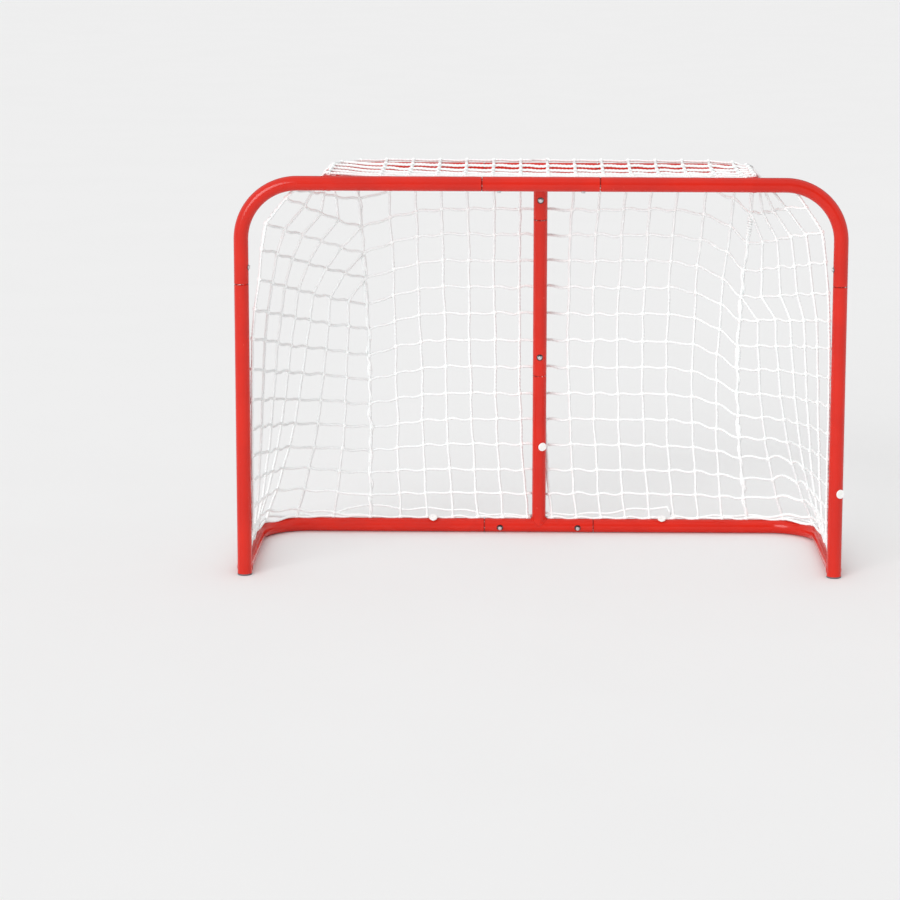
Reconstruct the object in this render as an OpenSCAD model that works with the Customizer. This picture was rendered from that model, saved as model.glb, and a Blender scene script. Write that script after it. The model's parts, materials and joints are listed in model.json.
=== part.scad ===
// Mini hockey goal: a push-together frame of steel tube with snap buttons, and a knotted net.
// The origin is on the floor under the middle of the goal. +Z is up and the mouth faces -Y.

/* [Goal] */
// Width over the outside of the posts
goal_w = 914; // [760:1:1200]
// Height from the floor to the top of the crossbar
goal_h = 607; // [500:1:900]
// Depth from the crossbar's centre to the rear base bar's centre
base_depth = 288; // [240:1:480]
// Depth from the crossbar's centre to the rear shelf bar's centre
shelf_depth = 203; // [170:1:230]
// Distance from the post's centre to the shelf arm's centre
arm_inset = 130; // [110:1:160]

/* [Tube] */
// Outside diameter of every frame tube
tube_d = 22; // [18:0.5:26]
// Tube wall
tube_wall = 1.2; // [0.8:0.1:2]
// Bend radius of the top corners, to the tube's centre
corner_r = 84; // [70:1:100]
// Bend radius of the base and shelf bends, to the tube's centre
rear_r = 75; // [60:1:90]

/* [Joints] */
// Length of a swaged end inside its sleeve
swage_len = 50; // [44:1:60]
// Radial clearance between a swaged end and its sleeve
swage_gap = 0.15; // [0.1:0.05:0.4]
// Length of the step from the full tube down to the swaged end
shoulder_len = 1.5; // [1:0.5:4]
// Half the length of the crossbar, base and shelf centre sections
centre_half = 87.5; // [70:0.5:110]
// Straight tube below each top corner bend
corner_drop = 67; // [60:1:90]
// Straight tube ahead of each base bend
base_leg = 42; // [42:1:60]
// Length of the welded stub that carries a shelf arm, from the crossbar's centre
arm_stub = 35; // [25:1:45]
// Length of the welded stub that carries the strut, from the shelf bar's centre
strut_stub = 78; // [70:1:110]

/* [Snap buttons] */
// Diameter of a button
button_d = 6.3; // [5:0.1:7]
// Diameter of the holes that a button passes
button_hole_d = 8.5; // [7.5:0.1:9.5]
// Height of a button above the tube
button_proud = 2.2; // [1:0.1:3]
// Distance from a frame seam to its button
button_inset = 25; // [20:0.5:28]
// Distance from a strut seam to its button
strut_button_inset = 31; // [25:0.5:34]
// Downward turn of the base bar's buttons, in degrees
base_button_dip = 15; // [0:1:30]
// Width of the spring strip
spring_w = 8; // [5:0.5:10]
// Thickness of the spring strip
spring_t = 0.6; // [0.4:0.1:0.8]

/* [Feet] */
// Thickness of a foot cap under its post
cap_rim = 2.5; // [1.5:0.5:5]
// Depth of a foot cap's plug inside the post
cap_plug = 16; // [8:1:24]
// Clearance round the cap's rim where the rail is cut to meet it
cap_gap = 0.3; // [0.2:0.1:0.6]

/* [Net] */
// Width and thickness of a net cord
cord_w = 2.6; // [1.5:0.1:3.5]
// Clearance between a net cord and the tube that carries it
cord_gap = 0.4; // [0.3:0.1:0.6]
// Cells across the back and top panels, left of the strut
left_cells = 7; // [5:1:8]
// Cells across the back and top panels, right of the strut
right_cells = 8; // [6:1:9]
// Cells down the back and side panels
drop_cells = 14; // [10:1:15]
// Cells from the left fold to the left post
left_side_cells = 7; // [4:1:8]
// Cells from the right fold to the right post
right_side_cells = 6; // [4:1:7]
// Cells from front to back on the top panel
top_cells = 5; // [3:1:5]
// Distance from the middle to the left fold, along the rear shelf bar
left_fold_head = 281; // [260:1:330]
// Distance from the middle to the right fold, along the rear shelf bar
right_fold_head = 344; // [280:1:350]
// Distance from the middle to the left fold, along the rear base bar
left_fold_foot = 272; // [250:1:330]
// Distance from the middle to the right fold, along the rear base bar
right_fold_foot = 335; // [250:1:350]
// How much lower the knots hang at the left fold than in the middle
left_fold_dip = 29; // [0:1:50]
// How much lower the knots hang at the right fold than in the middle
right_fold_dip = 48; // [0:1:50]
// Distance from the left post to the place where the left side panel leaves the crossbar
left_corner_cut = 72; // [40:1:80]
// Distance from the right post to the place where the right side panel leaves the crossbar
right_corner_cut = 46; // [30:1:80]
// Depth of the billow in the back panel
billow = 12; // [0:1:20]
// Sag of the top panel
top_sag = 5; // [0:1:8]

/* [Net pegs] */
// Diameter of a peg's head
peg_head_d = 13.5; // [10:0.5:16]
// Thickness of a peg's head
peg_head_t = 2.2; // [1.5:0.1:3]
// Diameter of a peg's shank
peg_d = 5; // [4:0.1:6]

/* [Hidden] */
$fn = 64;
FACE = 0.01;

tube_r = tube_d / 2;
bore_r = tube_r - tube_wall;
male_r = bore_r - swage_gap;
male_bore_r = male_r - tube_wall;
cope_r = tube_r - tube_wall / 2;
swage_tip = 1;

// Places of the tubes' centre lines
post_x = goal_w / 2 - tube_r;
bar_z = goal_h - tube_r;
base_z = tube_r;
front_y = -base_depth / 2;
rear_y = base_depth / 2;
shelf_y = front_y + shelf_depth;
arm_x = post_x - arm_inset;
corner_x = post_x - corner_r;
base_bend_x = post_x - rear_r;
shelf_bend_x = arm_x - rear_r;
post_seam_z = bar_z - corner_r - corner_drop;
rail_len = base_depth - rear_r - base_leg;

// The strut runs from the shelf bar's centre down to the base bar's centre
strut_top = [0, shelf_y, bar_z];
strut_foot = [0, rear_y, base_z];
strut_len = norm(strut_top - strut_foot);
strut_tilt = atan2(rear_y - shelf_y, bar_z - base_z);
strut_up = [0, -sin(strut_tilt), cos(strut_tilt)];
strut_front = [0, -cos(strut_tilt), -sin(strut_tilt)];
strut_piece = (strut_len - strut_stub) / 2;

// Snap buttons
button_top = tube_r + button_proud;
button_round = 1.2;
flange_r = button_d / 2 + 1.1;
flange_t = 1;
flange_gap = 0.3;
flange_top = sqrt(male_bore_r * male_bore_r - flange_r * flange_r) - flange_gap;
flange_foot = flange_top - flange_t;
leaf_gap = 0.1;
leaf_top = flange_foot - leaf_gap;
leaf_end = 6;
leaf_foot = sqrt(male_bore_r * male_bore_r - spring_w * spring_w / 4) - flange_gap;
leaf_back = -9;
leaf_bend_r = 2.6;

// Net: pairs of values are for the left and the right half
net_seat = tube_r + cord_w / sqrt(2) + cord_gap;
sewn_gap = 1.5;
top_seat_angle = 40;
net_foot_z = base_z + net_seat;
net_drop = bar_z - net_foot_z;
back_cells = left_cells + right_cells;
half_cells = [left_cells, right_cells];
side_cells = [left_side_cells, right_side_cells];
fold_head = [left_fold_head, right_fold_head];
fold_foot = [left_fold_foot, right_fold_foot];
fold_dip = [left_fold_dip, right_fold_dip];
corner_cut = [left_corner_cut, right_corner_cut];
dip_cells = 3;
// How much the rows gather under the crossbar's corner, and the part of the height at which
// the edge meets the post
gather = [1, 0.3];
edge_reach = 0.6;
arm_end_s = shelf_bend_x + rear_r * PI / 2 + shelf_y - rear_r - front_y - net_seat;
rail_end_s = base_bend_x + rear_r * PI / 2 + rear_y - rear_r - front_y - net_seat;
// Extra room that lets a straight cord pass round the outside of a shelf bend
bend_cell = max([
    for (k = [0, 1])
        each [fold_head[k] / half_cells[k], (arm_end_s - fold_head[k]) / side_cells[k]]
]);
bend_relief = (rear_r + net_seat) * (1 / cos(min(bend_cell / rear_r, PI / 2) * 90 / PI) - 1);

// Net pegs
peg_hole_d = peg_d + 0.3;
peg_dimple_d = 3.5;
peg_dimple_t = 0.8;
peg_round = 0.9;
peg_close = 0.4;
peg_over_cord = net_seat - tube_r + cord_w / sqrt(2) + cord_gap;
peg_barb = 3;

RED = [0.86, 0.16, 0.12];
STEEL = [0.8, 0.8, 0.82];
GREY = [0.36, 0.34, 0.36];
WHITE = [0.95, 0.95, 0.93];

// Each joint: name, seam, direction into the sleeve, direction of the button, button's distance
JOINTS = [
    ["crossbar_left", [-centre_half, front_y, bar_z], [1, 0, 0], [0, 0, -1], button_inset],
    ["crossbar_right", [centre_half, front_y, bar_z], [-1, 0, 0], [0, 0, -1], button_inset],
    ["post_left", [-post_x, front_y, post_seam_z], [0, 0, 1], [1, 0, 0], button_inset],
    ["post_right", [post_x, front_y, post_seam_z], [0, 0, 1], [-1, 0, 0], button_inset],
    ["rail_left", [-post_x, front_y + rail_len, base_z], [0, -1, 0], [-1, 0, 0], button_inset],
    ["rail_right", [post_x, front_y + rail_len, base_z], [0, -1, 0], [1, 0, 0], button_inset],
    ["base_left", [-centre_half, rear_y, base_z], [1, 0, 0], base_button(), button_inset],
    ["base_right", [centre_half, rear_y, base_z], [-1, 0, 0], base_button(), button_inset],
    ["strut_top", strut_top - strut_up * strut_stub, strut_up, strut_front, strut_button_inset],
    ["strut_middle", strut_foot + strut_up * strut_piece, strut_up, strut_front, strut_button_inset],
    ["arm_left", [-arm_x, front_y + arm_stub, bar_z], [0, 1, 0], [0, 0, -1], button_inset],
    ["arm_right", [arm_x, front_y + arm_stub, bar_z], [0, 1, 0], [0, 0, -1], button_inset],
    ["shelf_left", [-centre_half, shelf_y, bar_z], [1, 0, 0], [0, 0, -1], button_inset],
    ["shelf_right", [centre_half, shelf_y, bar_z], [-1, 0, 0], [0, 0, -1], button_inset],
];

function base_button() = [0, -cos(base_button_dip), -sin(base_button_dip)];

// Peg places in cells from the left arm and from the crossbar, and how far each peg turns from its cord
bar_peg_cells = [1.5, 4.5, back_cells - 4.5, back_cells - 1.5];
post_peg_cells = [drop_cells - 5.5, drop_cells - 3.5, drop_cells - 1.5];
peg_turn = asin((peg_d / 2 + cord_w / sqrt(2) + cord_gap) / net_seat);
crossbar_peg_tilt = top_seat_angle + peg_turn;
base_peg_tilt = 30;
post_peg_z = 131;
strut_peg_drop = 453;

// Each peg: node, place on the tube's centre line, direction, gap under the head
PEGS = concat(
    [for (cell = bar_peg_cells)
        ["crossbar", [across(cell, [arm_x, arm_x]), front_y, bar_z],
            [0, sin(crossbar_peg_tilt), cos(crossbar_peg_tilt)], peg_over_cord]],
    [for (k = [0, 1], cell = post_peg_cells)
        [k == 0 ? "post_left" : "post_right",
            [(2 * k - 1) * post_x, front_y, front_edge(k, cell / drop_cells).z],
            [(1 - 2 * k) * sin(peg_turn), cos(peg_turn), 0], peg_over_cord]],
    [
        ["post_right", [post_x, front_y, post_peg_z], [sin(30), -cos(30), 0], peg_close],
        ["strut", strut_top - strut_up * strut_peg_drop,
            strut_front * cos(25) + [sin(25), 0, 0], peg_close],
        ["base", [-170, rear_y, base_z], [0, -sin(base_peg_tilt), cos(base_peg_tilt)], peg_over_cord],
        ["base", [198, rear_y, base_z], [0, -sin(base_peg_tilt), cos(base_peg_tilt)], peg_over_cord],
    ]
);

function unit(v) = v / norm(v);
function mix(a, b, t) = a + (b - a) * t;

// A matrix that puts local +Z along one direction and local +X along another
function place(origin, along, side) =
    let (other = cross(along, side))
    [
        [side.x, other.x, along.x, origin.x],
        [side.y, other.y, along.y, origin.y],
        [side.z, other.z, along.z, origin.z],
        [0, 0, 0, 1],
    ];

function joint(name) = JOINTS[search([name], JOINTS, 1, 0)[0]];

module ring_section() {
    difference() {
        circle(tube_r);
        circle(bore_r);
    }
}

// A straight tube from the origin along +Z
module tube(length) {
    linear_extrude(length) ring_section();
}

// A straight tube whose lower end steps down into a sleeve
module swaged_tube(length) {
    rotate_extrude()
        polygon([
            [bore_r, length],
            [tube_r, length],
            [tube_r, shoulder_len],
            [male_r, 0],
            [male_r, -swage_len + swage_tip],
            [male_r - swage_tip / 2, -swage_len],
            [male_bore_r, -swage_len],
            [male_bore_r, 0],
            [bore_r, shoulder_len + 1],
        ]);
}

// A quarter bend in the XY plane, from +X round to +Y
module bend(radius) {
    rotate_extrude(angle = 90)
        translate([radius, 0])
            ring_section();
}

// A welded branch: its end is coped into the wall of the main tube, which runs through the origin
module coped(main_turn = [0, 90, 0]) {
    difference() {
        children();
        rotate(main_turn)
            cylinder(r = cope_r, h = 4 * tube_r, center = true);
    }
}

// Cuts the button holes of the named joints and the peg holes of one peg group
module drilled(joints = [], pegs = "") {
    difference() {
        children();
        for (name = joints)
            button_hole(joint(name));
        for (peg = PEGS)
            if (peg[0] == pegs)
                peg_hole(peg);
    }
}

module button_hole(j) {
    multmatrix(place(j[1], j[2], j[3]))
        translate([0, 0, j[4]])
            rotate([0, 90, 0])
                cylinder(d = button_hole_d, h = tube_r + 1);
}

module peg_hole(peg) {
    multmatrix(place(peg[1], peg[2], peg_side(peg)))
        cylinder(d = peg_hole_d, h = tube_r + 1);
}

function peg_side(peg) = unit(cross(peg[2], abs(peg[2].z) > 0.9 ? [0, 1, 0] : [0, 0, 1]));

// Centre section of the crossbar: a plain sleeve at both ends
module crossbar_centre() {
    color(RED)
        drilled(["crossbar_left", "crossbar_right"])
            translate([-centre_half, front_y, bar_z])
                rotate([0, 90, 0])
                    tube(2 * centre_half);
}

// Top corner: crossbar end, bend, top of the post and the stub for the shelf arm
module corner(side) {
    name = side < 0 ? "left" : "right";
    color(RED)
        drilled([for (at = ["crossbar_", "post_", "arm_"]) str(at, name)], "crossbar")
            mirrored(side) {
                translate([centre_half, front_y, bar_z])
                    rotate([0, 90, 0])
                        swaged_tube(corner_x - centre_half);
                translate([corner_x, front_y, bar_z - corner_r])
                    rotate([90, 0, 0])
                        bend(corner_r);
                translate([post_x, front_y, post_seam_z])
                    tube(corner_drop);
                translate([arm_x, front_y, bar_z])
                    coped()
                        rotate([90, 0, 0])
                            translate([0, 0, -arm_stub])
                                swaged_tube(arm_stub);
            }
}

// Mirrors a right-hand piece to the left
module mirrored(side) {
    if (side < 0)
        mirror([1, 0, 0]) children();
    else
        children();
}

// Post with its swaged top and the side rail welded behind its foot
module post(side) {
    name = side < 0 ? "left" : "right";
    color(RED)
        drilled([str("post_", name), str("rail_", name)], str("post_", name))
            mirrored(side)
                difference() {
                    union() {
                        translate([post_x, front_y, post_seam_z])
                            rotate([180, 0, 0])
                                swaged_tube(post_seam_z - cap_rim);
                        translate([post_x, front_y, base_z])
                            coped([0, 0, 0])
                                rotate([-90, 0, 0])
                                    tube(rail_len);
                    }
                    translate([post_x, front_y, -1])
                        cylinder(r = tube_r + cap_gap, h = cap_rim + 1);
                }
}

// Base corner: rail end, bend and half of the rear base bar, swaged at both ends
module base_corner(side) {
    name = side < 0 ? "left" : "right";
    color(RED)
        drilled([str("rail_", name), str("base_", name)], "base")
            mirrored(side) {
                translate([post_x, front_y + rail_len, base_z])
                    rotate([-90, 0, 0])
                        swaged_tube(base_leg);
                translate([base_bend_x, rear_y - rear_r, base_z])
                    bend(rear_r);
                translate([centre_half, rear_y, base_z])
                    rotate([0, 90, 0])
                        swaged_tube(base_bend_x - centre_half);
            }
}

// Base tee: sleeve of the rear base bar with the foot of the strut welded on
module base_tee() {
    color(RED)
        drilled(["base_left", "base_right", "strut_middle"], "strut")
            translate(strut_foot) {
                translate([-centre_half, 0, 0])
                    rotate([0, 90, 0])
                        tube(2 * centre_half);
                coped()
                    multmatrix(place(strut_up * strut_piece, -strut_up, strut_front))
                        swaged_tube(strut_piece);
            }
}

// Middle piece of the strut: swaged top end, plain sleeve below
module centre_strut() {
    color(RED)
        drilled(["strut_top", "strut_middle"])
            multmatrix(place(strut_top - strut_up * strut_stub, -strut_up, strut_front))
                swaged_tube(strut_piece);
}

// Shelf tee: sleeve of the rear shelf bar with the stub that the strut enters
module shelf_tee() {
    color(RED)
        drilled(["shelf_left", "shelf_right", "strut_top"])
            translate(strut_top) {
                translate([-centre_half, 0, 0])
                    rotate([0, 90, 0])
                        tube(2 * centre_half);
                coped()
                    multmatrix(place([0, 0, 0], -strut_up, strut_front))
                        tube(strut_stub);
            }
}

// Shelf arm: sleeve over the corner's stub, bend and half of the rear shelf bar
module shelf_arm(side) {
    name = side < 0 ? "left" : "right";
    color(RED)
        drilled([str("arm_", name), str("shelf_", name)])
            mirrored(side) {
                translate([arm_x, front_y + arm_stub, bar_z])
                    rotate([-90, 0, 0])
                        tube(shelf_depth - rear_r - arm_stub);
                translate([shelf_bend_x, shelf_y - rear_r, bar_z])
                    bend(rear_r);
                translate([centre_half, shelf_y, bar_z])
                    rotate([0, 90, 0])
                        swaged_tube(shelf_bend_x - centre_half);
            }
}

// Foot cap: rim under the post and a hollow plug with ribs inside it
module foot_cap(side) {
    plug_r = bore_r - 0.3;
    rib_r = bore_r - 0.1;
    edge = 0.6;
    color(GREY)
        translate([side * post_x, front_y, 0])
            difference() {
                union() {
                    rotate_extrude()
                        polygon([
                            [0, 0],
                            [tube_r - edge, 0],
                            [tube_r, edge],
                            [tube_r, cap_rim],
                            [0, cap_rim],
                        ]);
                    cylinder(r = plug_r, h = cap_rim + cap_plug);
                    for (k = [1:3])
                        translate([0, 0, cap_rim + k * cap_plug / 4 - 0.5])
                            cylinder(r = rib_r, h = 1);
                }
                translate([0, 0, cap_rim])
                    cylinder(r = plug_r - 1.6, h = cap_plug + 1);
            }
}

// Snap button: domed shank on a flange that stops it inside the swaged tube
module snap_button(j) {
    shank_r = button_d / 2;
    dome = [for (a = [0:15:90])
        [shank_r - button_round + button_round * cos(a), button_top - button_round + button_round * sin(a)]];
    color(STEEL)
        multmatrix(place(j[1] + j[2] * j[4], j[3], j[2]))
            rotate_extrude()
                polygon(concat(
                    [[0, flange_foot], [flange_r, flange_foot]],
                    [[flange_r, flange_top], [shank_r, flange_top]],
                    dome,
                    [[0, button_top]]
                ));
}

// Leaf spring: a strip bent into a V, one leg under the button and one on the far wall
module leaf_spring(j) {
    tip = j[4] + leaf_end;
    bend_at = [leaf_back, (leaf_top - leaf_foot) / 2];
    curve = [for (a = [90:30:270]) bend_at + leaf_bend_r * [cos(a), sin(a)]];
    line = concat([[tip, leaf_top - spring_t / 2]], curve, [[tip, -leaf_foot + spring_t / 2]]);
    color(STEEL)
        multmatrix(place(j[1], cross(j[2], j[3]), j[2]))
            linear_extrude(spring_w, center = true)
                polygon(strip(line, spring_t));
}

// Outline of a strip of the given thickness along a line of points
function strip(line, t) = concat(
    [for (i = [0:len(line) - 1]) line[i] + strip_side(line, i) * t / 2],
    [for (i = [len(line) - 1:-1:0]) line[i] - strip_side(line, i) * t / 2]
);
function strip_side(line, i) =
    let (d = unit(line[min(i + 1, len(line) - 1)] - line[max(i - 1, 0)]))
    [-d.y, d.x];

// Net peg: domed head with a dimple, neck and barb, standing on a tube's centre line
module net_peg(peg) {
    head_z = tube_r + peg[3];
    head_r = peg_head_d / 2;
    shank_r = peg_d / 2;
    barb_z = male_bore_r - peg_barb;
    top = head_z + peg_head_t;
    dome = [for (a = [0:30:90])
        [head_r - peg_round + peg_round * cos(a), top - peg_round + peg_round * sin(a)]];
    multmatrix(place(peg[1], peg[2], peg_side(peg)))
        rotate_extrude()
            polygon(concat(
                [[0, barb_z], [shank_r * 0.6, barb_z], [shank_r + 0.4, barb_z + 2], [shank_r, barb_z + 2.4]],
                [[shank_r, head_z], [head_r, head_z]],
                dome,
                [[peg_dimple_d / 2, top], [peg_dimple_d / 2, top - peg_dimple_t], [0, top - peg_dimple_t]]
            ));
}

module net_pegs(group) {
    color(WHITE)
        for (peg = PEGS)
            if (peg[0] == group)
                net_peg(peg);
}

// Centre line of the shelf, by distance along it from its middle: point and outward direction
function shelf_line(s) = bent_line(s, shelf_bend_x, rear_r, shelf_y, bar_z);

// Centre line of the base, in the same way
function base_line(s) = bent_line(s, base_bend_x, rear_r, rear_y, base_z);

function bent_line(s, straight, radius, y, z) =
    let (
        side = sign(s),
        over = abs(s) - straight,
        turn = min(max(over / radius * 180 / PI, 0), 90),
        leg = max(over - radius * PI / 2, 0)
    )
    over <= 0
        ? [[s, y, z], [0, 1, 0]]
        : [
            [side * (straight + radius * sin(turn)), y - radius + radius * cos(turn) - leg, z],
            [side * sin(turn), cos(turn), 0],
        ];

// Distance from the middle of a place counted in cells from the left fold, negative on the left
function across(i, reach) =
    i < left_cells ? reach[0] * (i / left_cells - 1) : reach[1] * (i - left_cells) / right_cells;

// Where a cord leaves the shelf for the back panel: the outer side of the shelf bar
function shelf_seat(s, room) = shelf_line(s)[0] + shelf_line(s)[1] * (net_seat + room);

// Depth that a cord needs to pass behind the strut at a height
function behind_strut(z) =
    rear_y - (z - base_z) * tan(strut_tilt) + (net_seat + cord_gap) / cos(strut_tilt);

// One half of the back panel, as a right half: n from the strut to the fold, and v from the
// shelf down to the base
function back_half(k, n, v) =
    let (
        s = n * fold_head[k],
        near_bend = s > shelf_bend_x - fold_head[k] / half_cells[k],
        head = shelf_seat(s, near_bend ? bend_relief : 0),
        foot = base_line(n * fold_foot[k])[0] + [0, 0, net_seat],
        near_fold = max(1 - (1 - n) * half_cells[k] / dip_cells, 0),
        dip = fold_dip[k] * sin(180 * sqrt(v)) * pow(near_fold, 1.8),
        p = mix(head, foot, v + dip / net_drop) + [0, billow * sin(180 * v) * sqrt(cos(90 * n)), 0]
    )
    n < FACE ? [0, max(p.y, behind_strut(p.z)), p.z] : p;

// Back panel, i cells from the left fold
function back_point(i, v) =
    i < left_cells
        ? flipped(back_half(0, 1 - i / left_cells, v))
        : back_half(1, (i - left_cells) / right_cells, v);

function flipped(p) = [-p.x, p.y, p.z];

// Top panel, i cells from the left arm and v from the crossbar back to the shelf bar
function top_point(i, v) =
    let (
        k = i < left_cells ? 0 : 1,
        front = [across(i, [arm_x, arm_x]), front_y, bar_z]
            + net_seat * [0, sin(top_seat_angle), cos(top_seat_angle)],
        rear = shelf_line(across(i, fold_head))[0] + [0, 0, net_seat],
        arm = shelf_line((2 * k - 1) * mix(arm_end_s, fold_head[k], v))[0] + [0, 0, net_seat]
    )
    i == 0 || i == back_cells
        ? arm
        : mix(front, rear, v) - [0, 0, top_sag * sin(180 * v) * sqrt(sin(180 * i / back_cells))];

// Front edge of a side panel: from under the crossbar's corner down behind the post
function front_edge(k, v) =
    [
        post_x - corner_cut[k] * pow(max(1 - v / edge_reach, 0), 1.3),
        front_y + net_seat,
        mix(bar_z - tube_r, net_foot_z, v - gather[k] * v * pow(1 - v, 3)),
    ];

// Top edge of a side panel: along the arm, then behind the crossbar towards the corner
function side_head(k, u) =
    let (
        on_arm = arm_end_s - fold_head[k],
        on_bar = post_x - corner_cut[k] - arm_x - net_seat,
        run = u * (on_arm + on_bar),
        past_arm = run - on_arm
    )
    past_arm <= 0
        ? shelf_seat(fold_head[k] + run, bend_relief)
        : [arm_x + net_seat + past_arm, front_y + net_seat, bar_z - tube_r * past_arm / on_bar];

// Bottom edge of a side panel, on top of the base corner and the rail
function side_foot(k, u) = base_line(mix(fold_foot[k], rail_end_s, u))[0] + [0, 0, net_seat];

// Side panel as a right one: u from the fold to the front edge and v from the arm down to the rail.
// The net is stretched between fold and front edge, and swings out to the arm and to the rail at its ends.
function side_point(k, u, v) =
    let (
        head_swing = side_head(k, u) - mix(side_head(k, 0), side_head(k, 1), u),
        foot_swing = side_foot(k, u) - mix(side_foot(k, 0), side_foot(k, 1), u)
    )
    mix(back_half(k, 1, v), front_edge(k, v), u) + head_swing * pow(1 - v, 5) + foot_swing * pow(v, 2.5);

// A knotted panel: three-sided cords between the points of a grid, one solid.
// An edge that is sewn to another panel has no cord of its own, and its cells end just short of it.
module net_panel(grid, sewn = false) {
    nu = len(grid[0]) - 1;
    nv = len(grid) - 1;
    points = [for (j = [0:nv], i = [0:nu]) each knot(grid, i, j, nu, nv, sewn)];
    faces = [for (j = [0:nv], i = [0:nu]) each knot_faces(i, j, nu, nv, sewn)];
    polyhedron(points, faces);
}

// The four corners of the knot at one grid point, and the ridge above them
function knot(grid, i, j, nu, nv, sewn) =
    let (
        along = unit(grid[j][min(i + 1, nu)] - grid[j][max(i - 1, 0)]),
        down = grid[min(j + 1, nv)][i] - grid[max(j - 1, 0)][i],
        normal = unit(cross(along, down)),
        upward = cross(normal, along),
        open = sewn && i == 0,
        h = cord_w / 2,
        base = [[-h, -h], [h, -h], [h, h], [-h, h]],
        at = grid[j][i] + (open ? sewn_gap * unit(grid[j][1] - grid[j][0]) : [0, 0, 0]),
        ridge = at + normal * h + along * (open ? h : 0)
    )
    concat([for (c = base) at + along * c[0] + upward * c[1] - normal * h], [ridge]);

// Triangles of one knot and of the cords that leave it towards +u and +v
function knot_faces(i, j, nu, nv, sewn) =
    let (
        a = 5 * (j * (nu + 1) + i),
        b = a + 5,
        c = a + 5 * (nu + 1),
        open = sewn && i == 0,
        along_u = [[a + 1, b, b + 3, a + 2], [a + 1, a + 4, b + 4, b], [a + 4, a + 2, b + 3, b + 4]],
        along_v = [[a + 3, a + 2, c + 1, c], [a + 4, a + 3, c, c + 4], [a + 2, a + 4, c + 4, c + 1]],
        quads = concat(
            open ? [] : [[a, a + 1, a + 2, a + 3]],
            i < nu ? along_u : [],
            j < nv && !open ? along_v : []
        ),
        ends = concat(
            i == nu || open ? [[a + 1, open ? a + 2 : a + 4, open ? a + 4 : a + 2]] : [],
            i == 0 && !open ? [[a, a + 3, a + 4]] : [],
            j == 0 && !open ? [[a, a + 4, a + 1]] : [],
            j == nv && !open ? [[a + 3, a + 2, a + 4]] : []
        )
    )
    concat(ends, [for (q = quads) each [[q[0], q[1], q[2]], [q[0], q[2], q[3]]]]);

module net_back() {
    color(WHITE)
        net_panel([for (j = [0:drop_cells])
            [for (i = [0:back_cells]) back_point(i, j / drop_cells)]]);
}

module net_top() {
    color(WHITE)
        net_panel([for (j = [0:top_cells])
            [for (i = [0:back_cells]) top_point(i, 1 - j / top_cells)]]);
}

module net_side(side) {
    k = side < 0 ? 0 : 1;
    color(WHITE)
        mirrored(side)
            net_panel(
                [for (j = [0:drop_cells])
                    [for (i = [0:side_cells[k]]) side_point(k, i / side_cells[k], j / drop_cells)]],
                sewn = true
            );
}

crossbar_centre();
corner(-1);  // corner_left
corner(1);  // corner_right
post(-1);  // post_left
post(1);  // post_right
base_corner(-1);  // base_corner_left
base_corner(1);  // base_corner_right
base_tee();
centre_strut();
shelf_tee();
shelf_arm(-1);  // shelf_arm_left
shelf_arm(1);  // shelf_arm_right
foot_cap(-1);  // foot_cap_left
foot_cap(1);  // foot_cap_right
for (j = JOINTS) snap_button(j);
for (j = JOINTS) leaf_spring(j);
net_back();
net_top();
net_side(-1);  // net_side_left
net_side(1);  // net_side_right
net_pegs("crossbar");  // net_pegs_crossbar
net_pegs("post_left");  // net_pegs_post_left
net_pegs("post_right");  // net_pegs_post_right
net_pegs("strut");  // net_peg_strut
net_pegs("base");  // net_pegs_base
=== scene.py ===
import json
import math
import random

import bpy
from mathutils import Matrix, Vector


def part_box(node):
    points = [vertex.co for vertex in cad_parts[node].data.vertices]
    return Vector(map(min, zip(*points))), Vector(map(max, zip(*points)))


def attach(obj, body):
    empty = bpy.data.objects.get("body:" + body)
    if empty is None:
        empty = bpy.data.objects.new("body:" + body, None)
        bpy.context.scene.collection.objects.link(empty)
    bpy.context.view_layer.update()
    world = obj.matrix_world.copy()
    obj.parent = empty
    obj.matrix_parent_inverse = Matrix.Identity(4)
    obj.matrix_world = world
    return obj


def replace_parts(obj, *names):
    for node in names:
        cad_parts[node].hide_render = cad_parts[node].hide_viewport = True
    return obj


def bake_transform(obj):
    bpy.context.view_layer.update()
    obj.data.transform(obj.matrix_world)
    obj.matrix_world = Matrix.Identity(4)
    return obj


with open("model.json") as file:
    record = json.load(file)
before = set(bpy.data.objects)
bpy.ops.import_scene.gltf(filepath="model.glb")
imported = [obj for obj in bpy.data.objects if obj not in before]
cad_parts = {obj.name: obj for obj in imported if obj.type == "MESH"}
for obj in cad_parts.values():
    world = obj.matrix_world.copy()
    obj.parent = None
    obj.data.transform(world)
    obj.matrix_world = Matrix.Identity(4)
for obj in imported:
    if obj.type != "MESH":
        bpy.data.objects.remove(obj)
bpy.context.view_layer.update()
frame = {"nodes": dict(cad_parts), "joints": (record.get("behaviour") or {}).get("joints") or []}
nodes = frame["nodes"]

# Camera: a long lens 4.3 m in front of the mouth, a little left of the middle and above the crossbar. Its
# shift puts the goal in the upper right of the view.
camera_at = (-0.0151, -4.3310, 1.0625)
look_down, look_left, lean = math.radians(9.357), math.radians(0.372), math.radians(0.209)
camera = bpy.data.objects.new("camera", bpy.data.cameras.new("camera"))
camera.data.lens = 113.63
camera.data.shift_x, camera.data.shift_y = -0.069, -0.13
camera.data.clip_end = 200
camera.matrix_world = (
    Matrix.Translation(camera_at)
    @ Matrix.Rotation(look_left, 4, "Z")
    @ Matrix.Rotation(math.pi / 2 - look_down, 4, "X")
    @ Matrix.Rotation(lean, 4, "Z")
)
bpy.context.collection.objects.link(camera)
bpy.context.scene.camera = camera


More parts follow.
